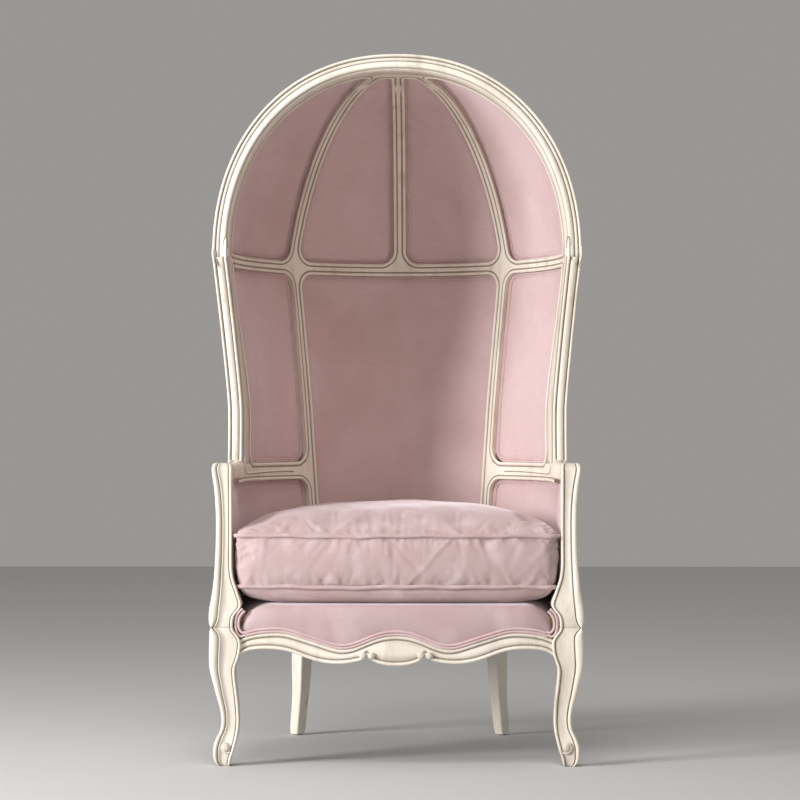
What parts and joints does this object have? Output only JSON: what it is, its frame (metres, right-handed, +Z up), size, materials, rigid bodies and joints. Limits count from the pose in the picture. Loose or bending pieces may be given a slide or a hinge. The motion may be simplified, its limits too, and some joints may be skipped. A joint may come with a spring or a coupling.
{
  "type": "hooded porter's chair",
  "caption": "Domed porter's chair: carved cabriole-leg frame, arched hood, panelled velvet shell and a thick loose seat cushion.",
  "frame": {"origin": "on the floor, under the middle of the chair's bounding box", "axes": "+Z up, +Y from the front of the seat to the back of the hood, +X to the right seen from the front"},
  "size_m": [0.864, 0.7703, 1.65],
  "materials": {
    "frame_paint": "distressed cream paint",
    "velvet": "dusty pink velvet",
    "filling": "soft filling",
    "webbing": "woven jute",
    "lining": "plain black lining",
    "bare_wood": "bare",
    "steel": "plain",
    "glide": "matt"
  },
  "bodies": {
    "chair": {"arm_cover_left": "velvet", "arm_cover_right": "velvet", "arm_left": "frame_paint", "arm_pad_left": "velvet", "arm_pad_right": "velvet", "arm_post_left": "frame_paint", "arm_post_right": "frame_paint", "arm_rail_left": "frame_paint", "arm_rail_right": "frame_paint", "arm_right": "frame_paint", "back_cover": "velvet", "back_pad": "velvet", "back_post_left": "frame_paint", "back_post_right": "frame_paint", "corner_blocks": "bare_wood", "corner_screws": "steel", "crown_block": "frame_paint", "dome_back_cover_left": "velvet", "dome_back_cover_right": "velvet", "dome_back_pad_left": "velvet", "dome_back_pad_right": "velvet", "dome_rib_center": "frame_paint", "dome_rib_left": "frame_paint", "dome_rib_right": "frame_paint", "dome_side_cover_left": "velvet", "dome_side_cover_right": "velvet", "dome_side_pad_left": "velvet", "dome_side_pad_right": "velvet", "dust_cover": "lining", "foot_glides": "glide", "frame_dowels": "bare_wood", "front_leg_left": "frame_paint", "front_leg_right": "frame_paint", "front_seat_rail": "frame_paint", "hood_arch": "frame_paint", "rear_leg_left": "frame_paint", "rear_leg_right": "frame_paint", "rear_seat_rail": "frame_paint", "ring_rail_back": "frame_paint", "ring_rail_left": "frame_paint", "ring_rail_right": "frame_paint", "seat_deck": "velvet", "seat_springs": "steel", "seat_webbing": "webbing", "side_seat_rail_left": "frame_paint", "side_seat_rail_right": "frame_paint", "wing_cover_left": "velvet", "wing_cover_right": "velvet", "wing_pad_left": "velvet", "wing_pad_right": "velvet", "wing_stile_left": "frame_paint", "wing_stile_right": "frame_paint"},
    "cushion": {"cushion_cover": "velvet", "cushion_core": "filling"}
  },
  "joints": [
    {"name": "cushion_lift_out", "type": "slide", "parent": "chair", "child": "cushion", "axis": [0, -0.97, 0.2431], "range_m": [0, 0.8]}
  ]
}
